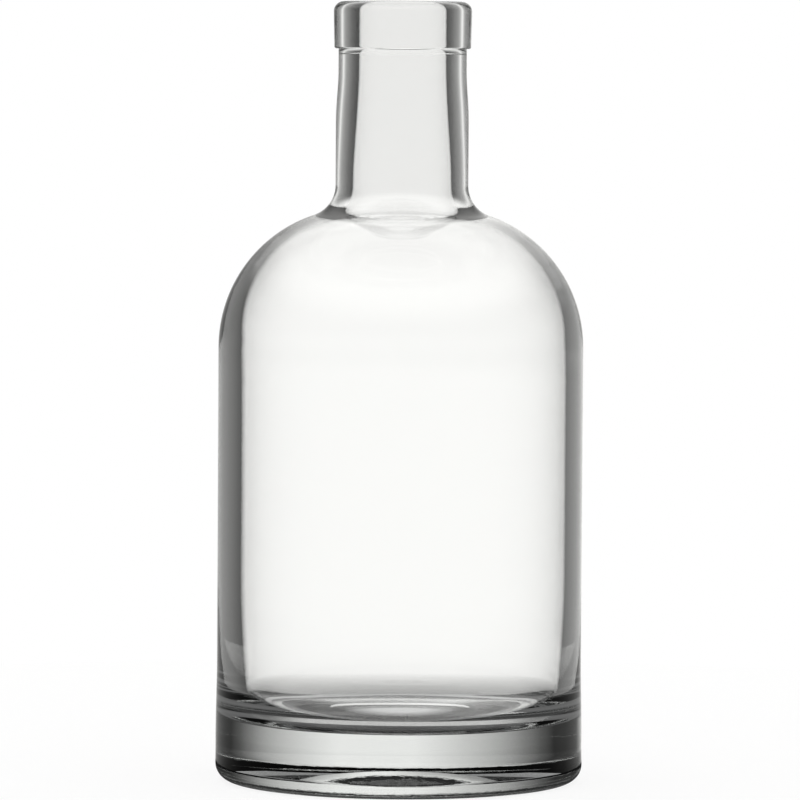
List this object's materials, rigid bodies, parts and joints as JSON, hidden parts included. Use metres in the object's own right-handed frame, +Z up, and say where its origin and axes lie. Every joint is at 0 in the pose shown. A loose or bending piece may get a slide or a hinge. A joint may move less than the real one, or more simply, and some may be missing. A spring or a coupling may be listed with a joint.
{
  "type": "glass bottle",
  "caption": "Empty clear glass spirit bottle with a round body, domed shoulder, straight neck, banded mouth for a bar-top stopper and very thick base.",
  "frame": {"origin": "centre of the bearing ring, on the plane that the bottle stands on", "axes": "+Z up along the bottle's axis, from the base to the mouth; X and Y are equal, because the bottle is round"},
  "size_m": [0.0886, 0.0886, 0.188],
  "materials": {
    "glass": "clear, fire-polished"
  },
  "bodies": {
    "root": {"bottle": "glass"}
  },
  "joints": []
}
